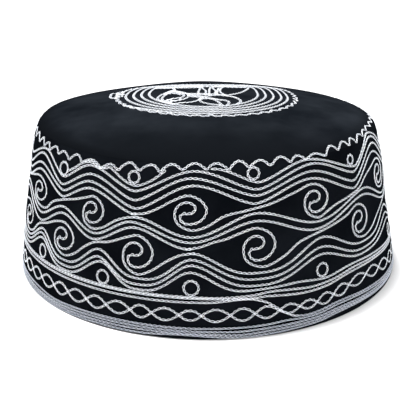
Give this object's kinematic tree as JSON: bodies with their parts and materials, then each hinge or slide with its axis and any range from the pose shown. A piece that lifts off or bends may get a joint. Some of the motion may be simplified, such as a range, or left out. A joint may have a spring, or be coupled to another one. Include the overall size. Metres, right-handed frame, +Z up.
{
  "type": "kufi",
  "caption": "Round black cloth cap with a tall stiff embroidered side band and a low domed crown, open below for the head.",
  "frame": {"origin": "centre of the rim circle, on the plane that the rim rests on", "axes": "+Z up through the crown; -Y is the front; +X is to the right of someone who looks at the front"},
  "size_m": [0.186, 0.186, 0.0798],
  "materials": {
    "band_cloth": "matt black plain-woven cotton, stiffened",
    "crown_cloth": "soft black plain-woven cotton with a faint sheen",
    "embroidery_thread": "silver-white chain-stitch thread, softly lustrous"
  },
  "bodies": {
    "root": {"side_band": "band_cloth", "crown_panel": "crown_cloth"}
  },
  "joints": []
}
